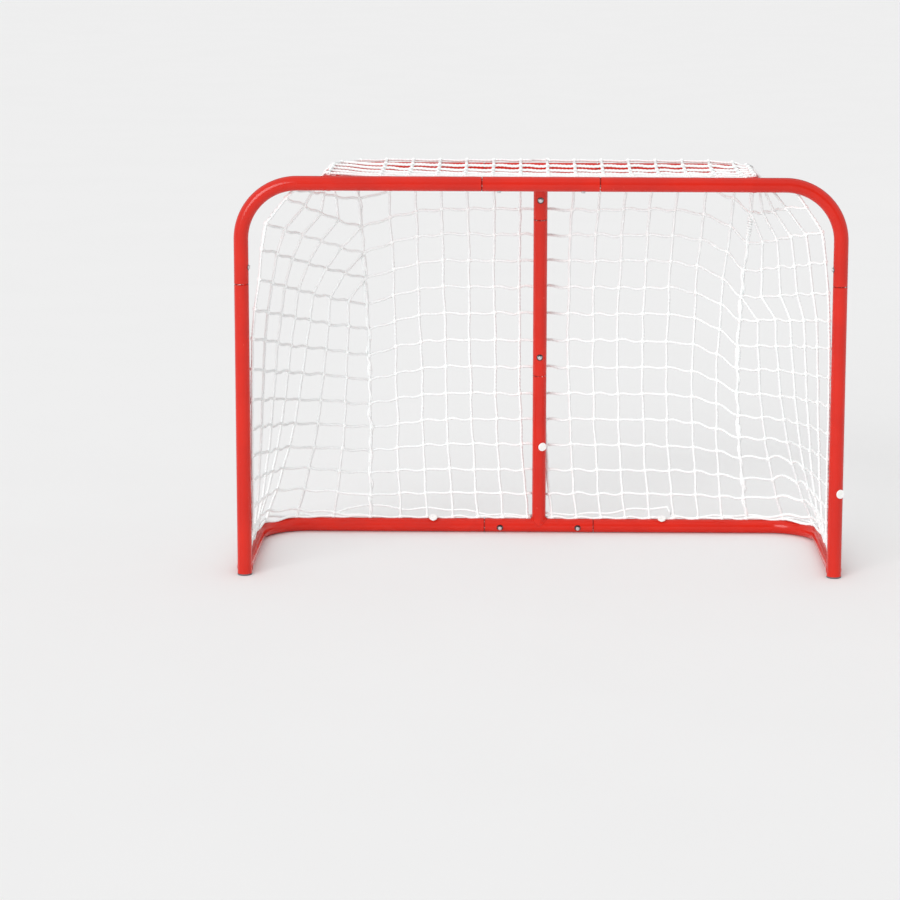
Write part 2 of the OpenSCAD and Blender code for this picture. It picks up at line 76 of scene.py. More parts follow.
# Studio: a plain pale floor without end, an even white surround, and one wide soft lamp from the front left,
# a little above the goal. Glossy paint sees the front and the back of the surround darker, so its highlights
# stay narrow.
class Wire:
    """A value, colour or vector that runs through a material. Arithmetic on values adds Math nodes."""

    def __init__(self, tree, source=None):
        self.tree = tree
        self.source = source

    def node(self, kind, settings=None, sockets=None, out=0):
        """A node with its settings made first and then its sockets set or linked; returns one output."""
        new = self.tree.nodes.new(kind)
        for name, value in (settings or {}).items():
            setattr(new, name, value)
        self.plug(new, sockets or {})
        return Wire(self.tree, new.outputs[out])

    def plug(self, node, sockets):
        """Sets or links the sockets of a node."""
        for name, value in sockets.items():
            if isinstance(value, Wire):
                self.tree.links.new(value.source, node.inputs[name])
            else:
                node.inputs[name].default_value = value

    def maths(self, operation, *values):
        return self.node("ShaderNodeMath", {"operation": operation}, dict(enumerate(values)))

    def __add__(self, other):
        return self.maths("ADD", self, other)

    __radd__ = __add__

    def __mul__(self, other):
        return self.maths("MULTIPLY", self, other)

    __rmul__ = __mul__

    def __sub__(self, other):
        return self.maths("SUBTRACT", self, other)

    def __rsub__(self, other):
        return self.maths("SUBTRACT", other, self)

    def size(self):
        return self.maths("ABSOLUTE", self)

    def most(self, other):
        return self.maths("MAXIMUM", self, other)

    def step(self, start, end):
        """0 below start and 1 above end, eased between them; it falls where start is the larger."""
        low, high = min(start, end), max(start, end)
        ends = (0.0, 1.0) if start < end else (1.0, 0.0)
        sockets = {"Value": self, "From Min": low, "From Max": high, "To Min": ends[0], "To Max": ends[1]}
        return self.node("ShaderNodeMapRange", {"interpolation_type": "SMOOTHSTEP"}, sockets)

    def blend(self, first, second):
        """A colour that goes from the first to the second as this value goes from 0 to 1."""
        sockets = {"Factor": self, 6: first, 7: second}
        return self.node("ShaderNodeMix", {"data_type": "RGBA"}, sockets, out=2)

    def along(self, direction):
        """How far this place lies along a direction."""
        sockets = {0: self, 1: tuple(direction)}
        return self.node("ShaderNodeVectorMath", {"operation": "DOT_PRODUCT"}, sockets, out="Value")

    def distance(self, point):
        sockets = {0: self, 1: tuple(point)}
        return self.node("ShaderNodeVectorMath", {"operation": "DISTANCE"}, sockets, out="Value")

    def noise(self, scale, detail=2.0, roughness=0.5):
        sockets = {"Vector": self, "Scale": scale, "Detail": detail, "Roughness": roughness}
        return self.node("ShaderNodeTexNoise", None, sockets)

    def bump(self, height, strength, distance):
        sockets = {"Strength": strength, "Distance": distance, "Height": height}
        return self.node("ShaderNodeBump", None, sockets)


def new_material(name):
    """A material, its shader, and the place on the object in metres."""
    material = bpy.data.materials.new(name)
    material.use_nodes = True
    wire = Wire(material.node_tree)
    place = wire.node("ShaderNodeTexCoord", out="Object")
    return material, material.node_tree.nodes["Principled BSDF"], place


floor_tone, floor_patch, floor_reach = 0.90, 0.99, 60.0
surround, backdrop, dim = 0.79, 0.86, 0.72
lamp_power, lamp_width, lamp_from = 1.5, math.radians(35), Vector((-0.55, -1.00, 0.46))
floor_mesh = bpy.data.meshes.new("floor")
corners = [(-floor_reach, -floor_reach, 0), (floor_reach, -floor_reach, 0),
           (floor_reach, floor_reach, 0), (-floor_reach, floor_reach, 0)]
floor_mesh.from_pydata(corners, [], [(0, 1, 2, 3)])
floor = bpy.data.objects.new("floor", floor_mesh)
bpy.context.collection.objects.link(floor)
floor_paint, floor_shader, floor_place = new_material("floor")
floor_place.plug(floor_shader, {
    "Base Color": floor_place.noise(3).step(0.2, 0.8).blend(
        (floor_tone,) * 3 + (1,), (floor_tone * floor_patch,) * 3 + (1,)),
    "Roughness": 0.9,
    "Specular IOR Level": 0.2,
})
floor_mesh.materials.append(floor_paint)

world = bpy.data.worlds.new("studio")
world.use_nodes = True
bpy.context.scene.world = world
air = Wire(world.node_tree)
seen = air.node("ShaderNodeLightPath", out="Is Camera Ray")
for kind in ("Is Glossy Ray", "Is Transmission Ray"):
    seen = seen.most(air.node("ShaderNodeLightPath", out=kind))
shiny = air.node("ShaderNodeLightPath", out="Is Glossy Ray")
facing = air.node("ShaderNodeTexCoord", out="Generated").along((0, 1, 0)).size().step(0.66, 0.90)
air.plug(world.node_tree.nodes["Background"], {
    "Color": (1, 1, 1, 1),
    "Strength": surround + seen * (backdrop - surround) - shiny * facing * dim,
})

lamp = bpy.data.objects.new("key", bpy.data.lights.new("key", "SUN"))
lamp.data.energy = lamp_power
lamp.data.angle = lamp_width
lamp.rotation_euler = lamp_from.to_track_quat("Z", "Y").to_euler()
bpy.context.collection.objects.link(lamp)
bpy.context.scene.view_settings.view_transform = "Standard"

# Frame tubes: 22 mm steel tube, swaged at one end of each seam and painted glossy red. The paint has a fine
# orange peel. On the rims where the tubes were pushed together it has pale specks, partly chipped to a pale
# primer and partly painted glints of light on the rim's edge. The seam grooves and the button holes carry
# painted shade.
crossbar_low, crossbar_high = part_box("crossbar_centre")
tube_r = (crossbar_high.z - crossbar_low.z) / 2
front_y, bar_z = crossbar_high.y - tube_r, crossbar_high.z - tube_r
post_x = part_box("foot_cap_right")[1].x - tube_r
rear_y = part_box("base_tee")[1].y - tube_r
base_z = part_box("base_tee")[0].z + tube_r
shelf_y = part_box("shelf_tee")[1].y - tube_r
arm_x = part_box("shelf_arm_right")[1].x - tube_r
strut_head, strut_foot = Vector((0, shelf_y, bar_z)), Vector((0, rear_y, base_z))
strut_up = (strut_head - strut_foot).normalized()
strut_stub = 0.078
button_rise = 0.0030
strut_piece = ((strut_head - strut_foot).length - strut_stub) / 2
X, Y, Z = Vector((1, 0, 0)), Vector((0, 1, 0)), Vector((0, 0, 1))
centre_seams = [(X, crossbar_low.x), (X, crossbar_high.x)]
strut_seams = [(strut_up, strut_up.dot(strut_head) - strut_stub),
               (strut_up, strut_up.dot(strut_foot) + strut_piece)]
post_seam = (Z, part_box("corner_right")[0].z)
rail_seam = (Y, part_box("post_right")[1].y)
arm_seam = (Y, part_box("shelf_arm_right")[0].y)


def button_mouth(node):
    """The middle of the hole that a snap button stands in, on the tube's surface."""
    low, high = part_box(node)
    push = -Vector(next(joint["axis"] for joint in frame["joints"] if joint["child"] == node))
    reach = sum(abs(push[k]) * (high - low)[k] for k in range(3)) / 2
    return (low + high) / 2 + push * (reach - button_rise)


mouths = [button_mouth(node) for node in nodes if node.startswith("button_")]
# Distances from a seam, or from the middle of a hole, at which a mark starts to show and is full
chip_and_glint_fade, groove_fade, hole_shade_fade = (0.0009, 0.0004), (0.0013, 0.0006), (0.0056, 0.0049)


def red_paint(name, seams, holes=()):
    """Glossy red paint: pale specks on the seam rims, partly chips and partly painted glints; painted shade
    in the seam grooves and round the holes.

    A seam is a direction and how far along it the seam lies.
    """
    material, shader, place = new_material(name)
    red, deep_red = (0.64, 0.014, 0.003, 1), (0.57, 0.011, 0.002, 1)
    # The pale colour on the next line is partly the primer under chipped paint and partly a painted glint of
    # light on the seam rims.
    dusty_red, primer_and_glint = (0.70, 0.060, 0.035, 1), (0.85, 0.72, 0.68, 1)
    # The first colour on the next line is painted shade, a dark red for the seam grooves.
    # The second colour on the next line is painted shade, near black, round and in the button holes.
    groove_shade, hole_shade = (0.30, 0.014, 0.010, 1), (0.035, 0.012, 0.012, 1)
    cloud = place.noise(14, 3).step(0.35, 0.7)
    colour = cloud.blend(red, deep_red)
    scuff = place.noise(60, 4, 0.7).step(0.66, 0.78)
    colour = (scuff * 0.25).blend(colour, dusty_red)
    specks = place.noise(260, 3, 0.6).step(0.56, 0.60)
    rim = shade = None
    for direction, reach in seams:
        off = (place.along(direction) - reach).size()
        rim = off.step(*chip_and_glint_fade) if rim is None else rim.most(off.step(*chip_and_glint_fade))
        shade = off.step(*groove_fade) if shade is None else shade.most(off.step(*groove_fade))
    # Painted shade in the seam grooves, broken into patches by noise.
    colour = (shade * place.noise(90, 2).step(0.36, 0.46)).blend(colour, groove_shade)
    # Painted shade round and in each button hole, where the gap round the button lies in shadow.
    for hole in holes:
        colour = place.distance(hole).step(*hole_shade_fade).blend(colour, hole_shade)
    # Pale specks on the seam rims: partly chips to the primer, partly painted glints of light on the rim's
    # edge.
    chips_and_glints = rim * specks
    colour = chips_and_glints.blend(colour, primer_and_glint)
    peel = place.noise(420, 2, 0.4)
    height = peel - chips_and_glints * 1.5
    place.plug(shader, {
        "Base Color": colour,
        "Roughness": 0.20 + cloud * 0.05 + scuff * 0.12 + chips_and_glints * 0.35,
        "Coat Weight": 0.10 - chips_and_glints * 0.10,
        "Normal": place.bump(height, 0.06, 0.0003),
        "Coat Roughness": 0.07,
        "Specular IOR Level": 0.36,
    })
    return material


seams_of = {
    "crossbar_centre": centre_seams,
    "corner_left": centre_seams + [post_seam, arm_seam],
    "corner_right": centre_seams + [post_seam, arm_seam],
    "post_left": [post_seam, rail_seam],
    "post_right": [post_seam, rail_seam],
    "base_corner_left": centre_seams + [rail_seam],
    "base_corner_right": centre_seams + [rail_seam],
    "base_tee": centre_seams + strut_seams[1:],
    "centre_strut": strut_seams,
    "shelf_tee": centre_seams + strut_seams[:1],
    "shelf_arm_left": centre_seams + [arm_seam],
    "shelf_arm_right": centre_seams + [arm_seam],
}


def dress(node, material):
    """Gives a CAD piece its finish."""
    nodes[node].data.materials.clear()
    nodes[node].data.materials.append(material)


near_tube = 0.002
for tube, seams in seams_of.items():
    low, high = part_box(tube)
    holes = [m for m in mouths if all(low[k] - near_tube < m[k] < high[k] + near_tube for k in range(3))]
    dress(tube, red_paint(f"red_{tube}", seams, holes))


# Weld beads: where a branch tube meets the tube that carries it, a rippled bead of weld metal runs round the
# joint, under the same red paint.
def sweep(paths, radius, edges=8, lobes=0.0, pitch=0.02, closed=False):
    """Vertices and faces of round cords along paths; the radius may be a function of the path's part."""
    verts, faces = [], []
    for path in paths:
        count = len(path)
        start = len(verts)
        side = None
        run = 0.0
        for k, point in enumerate(path):
            before = path[k - 1] if k or closed else path[k]
            after = path[(k + 1) % count] if k + 1 < count or closed else path[k]
            ahead = (after - before).normalized()
            if side is None:
                side = ahead.orthogonal().normalized()
            side = (side - ahead * side.dot(ahead)).normalized()
            other = ahead.cross(side)
            run += (point - path[k - 1]).length if k else 0.0
            r = radius(k / count) if callable(radius) else radius
            turn = 2 * math.pi * run / pitch
            for q in range(edges):
                angle = 2 * math.pi * q / edges
                reach = r * (1 + lobes * math.cos(3 * angle))
                verts.append(point + (side * math.cos(angle + turn) + other * math.sin(angle + turn)) * reach)
        rings = count if closed else count - 1
        for k in range(rings):
            a, b = start + k * edges, start + (k + 1) % count * edges
            for q in range(edges):
                faces.append((a + q, a + (q + 1) % edges, b + (q + 1) % edges, b + q))
        if not closed:
            faces.append(tuple(start + q for q in reversed(range(edges))))
            faces.append(tuple(start + (count - 1) * edges + q for q in range(edges)))
    return verts, faces


def make_piece(name, verts, faces, material, body="frame"):
    """A smooth-shaded piece of the object that moves with one body."""
    mesh = bpy.data.meshes.new(name)
    mesh.from_pydata(verts, [], faces)
    mesh.polygons.foreach_set("use_smooth", [True] * len(faces))
    mesh.materials.append(material)
    piece = bpy.data.objects.new(name, mesh)
    bpy.context.collection.objects.link(piece)
    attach(piece, body)
    return piece


weld_paint = red_paint("red_weld", centre_seams)
bead_r, bead_steps, bead_edges, ripples, ripple_height = 0.0016, 144, 10, 36, 0.22
bead_stand, saddle_round, thinnest_bead, floor_gap = 0.2, 0.012, 0.25, 0.0002
no_twist = 9.0
sides = (("left", -1), ("right", 1))


def weld(name, at, main, branch):
    """A bead round a branch tube that stands on a main tube of the same size.

    It is thin at the two sides, where the tubes run flush.
    """
    third = main.cross(branch)
    path = []
    for k in range(bead_steps):
        a = 2 * math.pi * k / bead_steps
        height = math.sqrt(math.cos(a) ** 2 + saddle_round)
        way = main * math.cos(a) + third * math.sin(a) + branch * height
        path.append(at + way * (tube_r + bead_r * bead_stand))
    ripple = [bead_r * (1 + ripple_height * math.sin(2 * math.pi * ripples * k / bead_steps))
              * (thinnest_bead + (1 - thinnest_bead) * abs(math.cos(2 * math.pi * k / bead_steps)))
              for k in range(bead_steps)]
    verts, faces = sweep([path], lambda t: ripple[int(t * bead_steps + 0.5) % bead_steps], bead_edges,
                         closed=True, pitch=no_twist)
    verts = [Vector((p.x, p.y, max(p.z, floor_gap))) for p in verts]
    make_piece(name, verts, faces, weld_paint)


weld("weld_strut_foot", strut_foot, X, strut_up)
weld("weld_strut_head", strut_head, X, -strut_up)
for name, side in sides:
    weld(f"weld_arm_{name}", Vector((side * arm_x, front_y, bar_z)), X, Y)
    weld(f"weld_rail_{name}", Vector((side * post_x, front_y, base_z)), Z, Y)

# Foot caps: dark grey moulded plastic, soft as hard rubber. Each is pressed into the foot of a post, and the
# floor has scuffed it pale underneath.
cap_plastic, cap_shader, place = new_material("cap_plastic")
scuffed = place.along(Z).step(0.0012, 0.0) * place.noise(500, 4).step(0.4, 0.6)
place.plug(cap_shader, {
    "Base Color": (scuffed * 0.5).blend((0.13, 0.11, 0.12, 1), (0.32, 0.30, 0.30, 1)),
    "Roughness": 0.5 + place.noise(300, 3) * 0.25,
    "Normal": place.bump(place.noise(1500, 2), 0.15, 0.0002),
})
for name in ("left", "right"):
    dress(f"foot_cap_{name}", cap_plastic)

# Snap buttons and their springs: a zinc-plated steel button with a domed head stands in each hole, pushed out
# by a V-shaped leaf of spring steel inside the tube.
zinc, zinc_shader, place = new_material("zinc")
clouds = place.noise(700, 3).step(0.3, 0.7)
place.plug(zinc_shader, {
    "Base Color": clouds.blend((0.78, 0.78, 0.79, 1), (0.60, 0.60, 0.62, 1)),
    "Metallic": 1.0,
    "Roughness": 0.24 + clouds * 0.14,
    "Normal": place.bump(place.noise(2500, 2), 0.08, 0.0001),
})
spring_steel, spring_shader, place = new_material("spring_steel")
stain = place.noise(160, 3).step(0.3, 0.7)
place.plug(spring_shader, {
    "Base Color": stain.blend((0.42, 0.43, 0.46, 1), (0.26, 0.27, 0.31, 1)),
    "Metallic": 1.0,
    "Roughness": 0.30 + stain * 0.15,
    "Normal": place.bump(place.noise(1800, 2), 0.08, 0.0001),
})
arm_share = 0.33


def mix(a, b, t):
    return a + (b - a) * t


def leaf_spring(node, push):
    """A leaf spring in spring steel, copied from the CAD piece that it replaces. The depth of its upper arm
    along the push is worked out, but nothing moves the arm.
    """
    mesh = nodes[node].data.copy()
    mesh.transform(nodes[node].matrix_world)
    mesh.materials.clear()
    mesh.materials.append(spring_steel)
    spring = bpy.data.objects.new(f"leaf_{node}", mesh)
    bpy.context.collection.objects.link(spring)
    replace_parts(spring, node)
    depths = [vertex.co.dot(push) for vertex in mesh.vertices]
    arm_depth = mix(min(depths), max(depths), arm_share)
    push * arm_depth
    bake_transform(spring)


for joint in frame["joints"]:
    dress(joint["child"], zinc)
    leaf_spring(joint["child"].replace("button", "spring"), Vector(joint["axis"]))

# Net pegs: white nylon with a faint moulding grain, slightly yellower where hands and weather reached it.
nylon, nylon_shader, place = new_material("nylon")
aged = place.noise(220, 3).step(0.4, 0.8)
place.plug(nylon_shader, {
    "Base Color": aged.blend((0.90, 0.90, 0.89, 1), (0.82, 0.81, 0.77, 1)),
    "Roughness": 0.30 + aged * 0.12,
    "Subsurface Weight": 0.15,
    "Subsurface Radius": (0.002, 0.002, 0.0015),
    "Normal": place.bump(place.noise(1600, 2), 0.06, 0.0002),
})
for node in nodes:
    if node.startswith("net_peg"):
        dress(node, nylon)

# Net cord: 4.4 mm white polyester, three strands laid together. A knot is two crossed turns of finer cord
# round a crossing. One function makes a panel from the places of its crossings.
cord_r, cord_edges = 0.0022, 9
strand_depth, lay_length = 0.12, 0.018
turn_r, turn_edges, turn_steps, turn_reach, turn_height = 0.0013, 6, 10, 0.0027, 0.0024
column_wave, column_droop = 0.0005, 0.0008
strut_room = 0.0006
polyester, cord_shader, place = new_material("polyester")
fibre = place.noise(1900, 3, 0.7)
worn = place.noise(9, 3).step(0.35, 0.75)
place.plug(cord_shader, {
    "Base Color": (fibre.step(0.35, 0.65) * 0.3 + worn * 0.25).blend(
        (0.965, 0.99, 0.99, 1), (0.91, 0.93, 0.925, 1)),
    "Roughness": 0.62 + fibre * 0.2,
    "Sheen Weight": 0.25,
    "Sheen Roughness": 0.5,
    "Normal": place.bump(fibre, 0.12, 0.0003),
})
dice = random.Random(7)
cell_steps = 15


def run_between(start, end, up, wave, droop):
    """A cord from knot to knot: it leaves the first knot high, dips, and droops by the given amounts."""
    for k in range(cell_steps):
        t = k / cell_steps
        yield start.lerp(end, t) + up * (wave * math.sin(2 * math.pi * t) - droop * math.sin(math.pi * t))


def cord_through(knots, up, waves, droops):
    """The path of a cord through its knots."""
    path = []
    for k in range(len(knots) - 1):
        path += run_between(knots[k], knots[k + 1], up, waves[k], droops[k])
    return path + [knots[-1]]


def knot_turns(at, along, down):
    """Two crossed turns of cord round a crossing."""
    normal = along.cross(down).normalized()
    for way in (1, -1):
        slant = (along.normalized() + down.normalized() * way).normalized()
        yield [at + slant * turn_reach * math.cos(a) + normal * turn_height * math.sin(a)
               for a in (2 * math.pi * k / turn_steps for k in range(turn_steps))]


def panel(name, grid, replaced, rows_from=0, wave=0.0013, droop=0.0006, slack=None, lead=None):
    """A knotted panel through a grid of crossings, rows first; a crossing that a short row lacks is None.

    Slack says how much a row stands up after a crossing; lead is a column's way over the bar it hangs from.
    """
    paths, rings = [], []
    last_row, last_col = len(grid) - 1, len(grid[0]) - 1
    for j in range(rows_from, last_row + 1):
        loose = [slack(i + 0.5, j) if slack else 0.0 for i in range(last_col)]
        waves = [wave * dice.uniform(0.4, 1.5) for _ in loose]
        droops = [droop * dice.uniform(-0.5, 2.0) - extra for extra in loose]
        paths.append(cord_through([knot for knot in grid[j] if knot], Z, waves, droops))
    for i in range(last_col + 1):
        column = [row[i] for row in grid if row[i]]
        across = (grid[last_row // 2][min(i + 1, last_col)] - grid[last_row // 2][max(i - 1, 0)]).normalized()
        waves = [column_wave * dice.uniform(-1, 1) for _ in column]
        droops = [column_droop * dice.uniform(-1, 1) for _ in column]
        path = cord_through(column, across, waves, droops)
        paths.append((lead(i) if lead and grid[0][i] else []) + path)
    for j in range(rows_from, last_row + 1):
        for i in range(last_col + 1):
            if grid[j][i]:
                along = grid[j][min(i + 1, last_col)] - (grid[j][max(i - 1, 0)] or grid[j][i])
                down = grid[min(j + 1, last_row)][i] - (grid[max(j - 1, 0)][i] or grid[j][i])
                rings += knot_turns(grid[j][i], along, down)
    paths = [[clear_of_strut(p) for p in path] for path in paths]
    rings = [[clear_of_strut(p) for p in ring] for ring in rings]
    verts, faces = sweep(paths, cord_r, cord_edges, lobes=strand_depth, pitch=lay_length)
    more, turns = sweep(rings, turn_r, turn_edges, closed=True, pitch=no_twist)
    faces += [tuple(k + len(verts) for k in turn) for turn in turns]
    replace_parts(make_piece(name, verts + more, faces, polyester), replaced)


def clear_of_strut(p):
    """Moves a point of the net to just behind the strut, which the net is stretched over."""
    room = tube_r + cord_r + strut_room
    if abs(p.x) >= room or p.y < shelf_y - tube_r:
        return p
    tilt = (strut_head.y - strut_foot.y) / (strut_head.z - strut_foot.z)
    behind = strut_foot.y + (p.z - strut_foot.z) * tilt + math.sqrt(room ** 2 - p.x ** 2) / strut_up.z
    return Vector((p.x, max(p.y, behind), p.z))


# Back net: 15 cells across and 14 down, stretched from the shelf bar behind the strut to the rear base bar.
# The folds at its two sides, where the side nets are laced on, hang lower than its middle.
bend_r = 0.075
seat = tube_r + 0.0025
back_cells, drop_cells = 15, 14
fold_on_shelf = {-1: 0.281, 1: 0.344}
fold_on_base = {-1: 0.272, 1: 0.335}
fold_dip = {-1: 0.029, 1: 0.048}
dip_cells, dip_curve = 3, 1.8
row_swell, billow_depth, stray = 0.005, 0.012, 0.0012
middle_pull, foot_pull = 0.008, 0.012


def bent_line(s, bend_at, y, z):
    """A bar with its two bends: the place on its centre line at a distance from its middle, and outward."""
    side = math.copysign(1, s)
    over = abs(s) - bend_at
    turn = min(max(over / bend_r, 0), math.pi / 2)
    leg = max(over - bend_r * math.pi / 2, 0)
    if over <= 0:
        return Vector((s, y, z)), Y.copy()
    place_x = side * (bend_at + bend_r * math.sin(turn))
    return Vector((place_x, y - bend_r + bend_r * math.cos(turn) - leg, z)), \
        Vector((side * math.sin(turn), math.cos(turn), 0))


def shelf_line(s):
    return bent_line(s, arm_x - bend_r, shelf_y, bar_z)


def base_line(s):
    return bent_line(s, post_x - bend_r, rear_y, base_z)


def row_height(v):
    """Height of a row of the back net at its middle, from the shelf bar at 0 down to the base bar at 1."""
    return mix(bar_z + seat, base_z + seat, v) + row_swell * math.sin(2 * math.pi * v)


def back_knot(i, j):
    """Place of a knot of the back net, counted from the left fold and from the shelf bar."""
    u, v = i / back_cells, j / drop_cells
    on_shelf, outward = shelf_line(mix(-fold_on_shelf[-1], fold_on_shelf[1], u))
    on_base = base_line(mix(-fold_on_base[-1], fold_on_base[1], u))[0]
    head, foot = on_shelf + outward * seat, on_base + Z * seat
    if j == 0:
        return head
    side, cells = (-1, i) if i <= back_cells / 2 else (1, back_cells - i)
    dip = fold_dip[side] * math.sin(math.pi * math.sqrt(v)) * max(0, 1 - cells / dip_cells) ** dip_curve
    height = row_height(v) - dip
    knot = mix(head, foot, (bar_z - height) / (bar_z - foot.z))
    pull = middle_pull * (1 - 3.5 * u) * math.sin(math.pi * v)
    pull += foot_pull * math.sin(math.pi * math.sqrt(u)) * v ** 4
    billow = billow_depth * math.sin(math.pi * v) * math.sqrt(abs(math.sin(math.pi * u)))
    jitter = 0.0 if j == drop_cells else stray
    return knot + Vector((pull + dice.uniform(-jitter, jitter), billow, dice.uniform(-jitter, jitter)))


def over_bar(on_bar, outward):
    """The start of a net cord on top of a bar, and its way over the bar to the outer side."""
    steps = 8
    return [on_bar + (Z * math.cos(a) + outward * math.sin(a)) * seat
            for a in (math.pi / 2 * k / steps for k in range(steps))]


back = [[back_knot(i, j) for i in range(back_cells + 1)] for j in range(drop_cells + 1)]


def back_lead(i):
    return over_bar(*shelf_line(mix(-fold_on_shelf[-1], fold_on_shelf[1], i / back_cells)))


panel("back_net", back, "net_back", rows_from=1, lead=back_lead)

# Side nets: laced to the back net at the fold and carried by the shelf arm, the post and the side rail. The
# left one has 7 cells from fold to post and the right one 6, but the first rows are short, and the columns
# that they lack join the fold further down.
side_cells = {-1: 7, 1: 6}
rail_end = post_x - bend_r + bend_r * math.pi / 2 + rear_y - bend_r - front_y - seat
arm_end = arm_x - bend_r + bend_r * math.pi / 2 + shelf_y - bend_r - front_y - seat
edge_y = front_y + 0.0076
head_pull, foot_curve, foot_tuck = 11, 2.5, 0.006
side_billow, side_stray = 0.008, 0.0015
# Cells across the short first rows
short_rows = {-1: {0: 4, 1: 4, 2: 4, 3: 5, 4: 6}, 1: {0: 4, 1: 4, 2: 5, 3: 5, 4: 5}}
# Front edge: row, distance from the goal's middle, height
front_edge = {
    -1: [(0, 0.356, 0.592), (1, 0.366, 0.586), (2, 0.379, 0.573), (3, 0.409, 0.535), (4, 0.416, 0.497),
         (5, 0.420, 0.451), (6, 0.427, 0.406), (7, 0.431, 0.361), (10, 0.4335, 0.224), (13, 0.4335, 0.104),
         (14, 0.4345, 0.068)],
    1: [(0, 0.376, 0.588), (1, 0.394, 0.562), (2, 0.418, 0.525), (3, 0.424, 0.481), (4, 0.429, 0.434),
        (6, 0.4325, 0.350), (9, 0.4335, 0.221), (12, 0.4335, 0.108), (14, 0.4345, 0.062)],
}


def through(stations, t):
    """A smooth line through stations of (t, values...), with slopes from the neighbours."""
    k = next((k for k in range(1, len(stations)) if t <= stations[k][0]), len(stations) - 1)
    a, b = stations[k - 1], stations[k]
    before, after = stations[max(k - 2, 0)], stations[min(k + 1, len(stations) - 1)]
    width = b[0] - a[0]
    f = (t - a[0]) / width
    values = []
    for n in range(1, len(a)):
        slope_a = (b[n] - before[n]) / (b[0] - before[0]) * width
        slope_b = (after[n] - a[n]) / (after[0] - a[0]) * width
        values.append(
            (2 * f ** 3 - 3 * f ** 2 + 1) * a[n] + (f ** 3 - 2 * f ** 2 + f) * slope_a
            + (3 * f ** 2 - 2 * f ** 3) * b[n] + (f ** 3 - f ** 2) * slope_b
        )
    return values


def front_knot(side, j):
    x, z = through(front_edge[side], j)
    return Vector((side * x, edge_y, z))


def head_run(side, u):
    """How far along the shelf from the fold, and then along the crossbar from the arm, a column hangs."""
    on_arm = arm_end - fold_on_shelf[side]
    run = u * (on_arm + front_edge[side][0][1] - arm_x)
    return min(run, on_arm), max(run - on_arm, 0)


def side_head(side, u):
    """Where the side net hangs from: along the shelf arm, then behind the crossbar."""
    on_arm, on_bar = head_run(side, u)
    if on_bar == 0:
        on_shelf, outward = shelf_line(side * (fold_on_shelf[side] + on_arm))
        return on_shelf + outward * seat
    part = on_bar / (front_edge[side][0][1] - arm_x)
    return Vector((side * (arm_x + seat * (1 - part) + on_bar), mix(front_y + seat, edge_y, part),
                   mix(bar_z, front_edge[side][0][2], part)))


def side_foot(side, u):
    """The last full row of the side net, which climbs from the fold towards the post."""
    p = base_line(side * mix(fold_on_base[side], rail_end, u))[0]
    p.z = mix(base_z + seat, front_edge[side][-1][2], u)
    p.x -= side * foot_tuck * u
    return p


def side_knot(side, i, j):
    """Place of a knot of a side net, counted from the fold and from the shelf arm."""
    cells = short_rows[side].get(j, side_cells[side])
    i -= side_cells[side] - cells
    if i < 0:
        return None
    u, v = i / cells, j / drop_cells
    fold = back[j][0 if side < 0 else back_cells]
    if i == 0:
        return fold.copy()
    if j == 0:
        return side_head(side, u)
    head_swing = side_head(side, u) - mix(side_head(side, 0), side_head(side, 1), u)
    foot_swing = side_foot(side, u) - mix(side_foot(side, 0), side_foot(side, 1), u)
    p = mix(fold, front_knot(side, j), u) + head_swing * (1 - v) ** head_pull + foot_swing * v ** foot_curve
    if 0 < j < drop_cells and i < cells:
        p += Vector((side * side_billow * math.sin(math.pi * u) * math.sin(math.pi * v),
                     dice.uniform(-side_stray, side_stray), dice.uniform(-side_stray, side_stray)))
    return p


def right_slack(i, j):
    """How much the rows stand up between their knots in the loose lower corner of the right side net."""
    most, middle, reach = 0.011, (1.8, 11.5), (1.2, 1.3)
    return most * math.exp(-((i - middle[0]) / reach[0]) ** 2 - ((j - middle[1]) / reach[1]) ** 2)


for name, side in sides:
    grid = [[side_knot(side, i, j) for i in range(side_cells[side] + 1)] for j in range(drop_cells + 1)]
    grid.append([base_line(side * mix(fold_on_base[side], rail_end, i / side_cells[side]))[0] + Z * seat
                 for i in range(side_cells[side] + 1)])

    def side_lead(i, side=side):
        on_arm, on_bar = head_run(side, 1 - (side_cells[side] - i) / short_rows[side][0])
        return [] if on_bar else over_bar(*shelf_line(side * (fold_on_shelf[side] + on_arm)))

    panel(f"side_net_{name}", grid, f"net_side_{name}", rows_from=1,
          slack=right_slack if side > 0 else None, lead=side_lead)

# Top net: lies over the shelf from the crossbar to the shelf bar and the arms, and sags a little between
# them. Its five rows of cells end at the back of the crossbar's top.
top_cells, top_sag = 5, 0.006
top_seat = math.radians(40)
left_room, right_room = 0.020, 0.012


def top_knot(i, k):
    """Place of a knot of the top net, counted from the left arm and from the shelf bar."""
    u, v = i / back_cells, k / top_cells
    rear = shelf_line(mix(-fold_on_shelf[-1], fold_on_shelf[1], u))[0] + Z * seat
    side = -1 if i < back_cells / 2 else 1
    if i in (0, back_cells):
        return shelf_line(side * mix(fold_on_shelf[side], arm_end, v))[0] + Z * seat
    x = mix(-fold_on_shelf[-1], fold_on_shelf[1], u)
    front = Vector((max(min(x, arm_x - right_room), left_room - arm_x), front_y + seat * math.sin(top_seat),
                    bar_z + seat * math.cos(top_seat)))
    sag = top_sag * math.sin(math.pi * v) * math.sqrt(math.sin(math.pi * u))
    return mix(rear, front, v) - Z * sag


panel("top_net", [[top_knot(i, k) for i in range(back_cells + 1)] for k in range(top_cells + 1)], "net_top",
      wave=0.0006, droop=0.0004)

# Border cord: the cord woven through the edge meshes. It runs down both posts, along the rails and over the
# rear base bar, in slack waves between the pegs.
border_r, border_lay = 0.0019, 0.02
base_pegs, peg_reach = (-0.170, 0.198), 0.020
border_steps, edge_steps = 420, 6


def ramp(x, start, end):
    """0 before start and 1 after end, straight between them; start may be the larger."""
    return min(max((x - start) / (end - start), 0), 1)


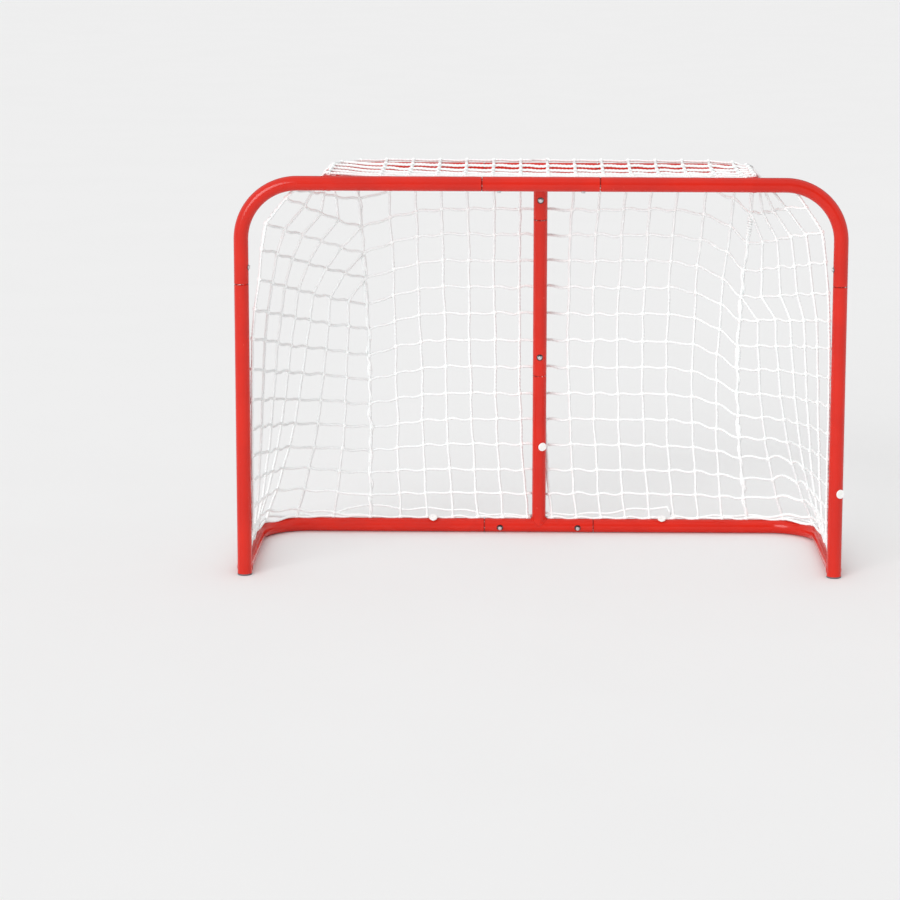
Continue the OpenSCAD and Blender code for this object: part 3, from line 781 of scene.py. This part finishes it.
def border_on_base(s):
    """The border cord above the rear base bar: it lifts off in two slack runs, and drops past the pegs."""
    left_run = 0.016 * ramp(-s, 0.02, 0.28) * ramp(-s, 0.33, 0.28)
    right_run = 0.013 * ramp(s, 0.01, 0.21) * ramp(s, 0.213, 0.207)
    peg_lift = 0.001 * max(math.exp(-((s - peg) / peg_reach) ** 2) for peg in base_pegs)
    waves = 0.0016 * math.sin(s * 95) + 0.0018 * math.sin(s * 41 + 1)
    return base_line(s)[0] + Z * (seat + 0.0028 + waves + peg_lift + left_run + right_run)


border = [front_knot(-1, j / edge_steps) for j in range(drop_cells * edge_steps)]
border += [border_on_base(mix(-rail_end, rail_end, k / border_steps)) for k in range(border_steps + 1)]
border += [front_knot(1, j / edge_steps) for j in reversed(range(drop_cells * edge_steps))]
border = [clear_of_strut(p) for p in border]
verts, faces = sweep([border], border_r, cord_edges, lobes=strand_depth, pitch=border_lay)
make_piece("border_cord", verts, faces, polyester)

# Fold lacing: a cord wound loosely round each fold, which joins a side net to the back net. In a few places
# it is wound tight, turn on turn.
lacing_r, lacing_edges, lacing_steps, lacing_turns = 0.0019, 8, 40, 0.8
coil_rise, coil_steps, row_drop = 0.0034, 12, 0.042
# Rows between which the lacing is wound tight
wound = {-1: [(3.1, 3.7), (4.2, 5.1), (7.4, 7.8), (11.1, 11.5)],
         1: [(1.1, 1.8), (4.3, 4.7), (6.1, 6.7), (9.4, 9.9), (12.0, 12.3)]}


def fold_place(side, t):
    column = [row[0 if side < 0 else back_cells] for row in back]
    j = min(int(t), drop_cells - 1)
    return mix(column[j], column[j + 1], t - j)


def round_fold(side, t, angle, out):
    """A place beside the fold: out by a distance, at an angle round it."""
    return fold_place(side, t) + (X * math.cos(angle) + Y * math.sin(angle)) * out


for name, side in sides:
    lacing = []
    for k in range(lacing_steps * drop_cells + 1):
        t = k / lacing_steps
        out = 0.0026 + 0.0008 * math.sin(t * 2.1)
        lacing.append(round_fold(side, t, 2 * math.pi * lacing_turns * t, out))
    coils = []
    for start, end in wound[side]:
        turns = (end - start) * row_drop / coil_rise
        steps = int(turns * coil_steps)
        coils.append([
            round_fold(side, mix(start, end, k / steps), 2 * math.pi * turns * k / steps,
                       0.0018 + 0.0013 * math.sin(math.pi * k / steps))
            for k in range(steps + 1)
        ])
    verts, faces = sweep([lacing] + coils, lacing_r, lacing_edges, lobes=strand_depth, pitch=lay_length)
    make_piece(f"fold_lacing_{name}", verts, faces, polyester)
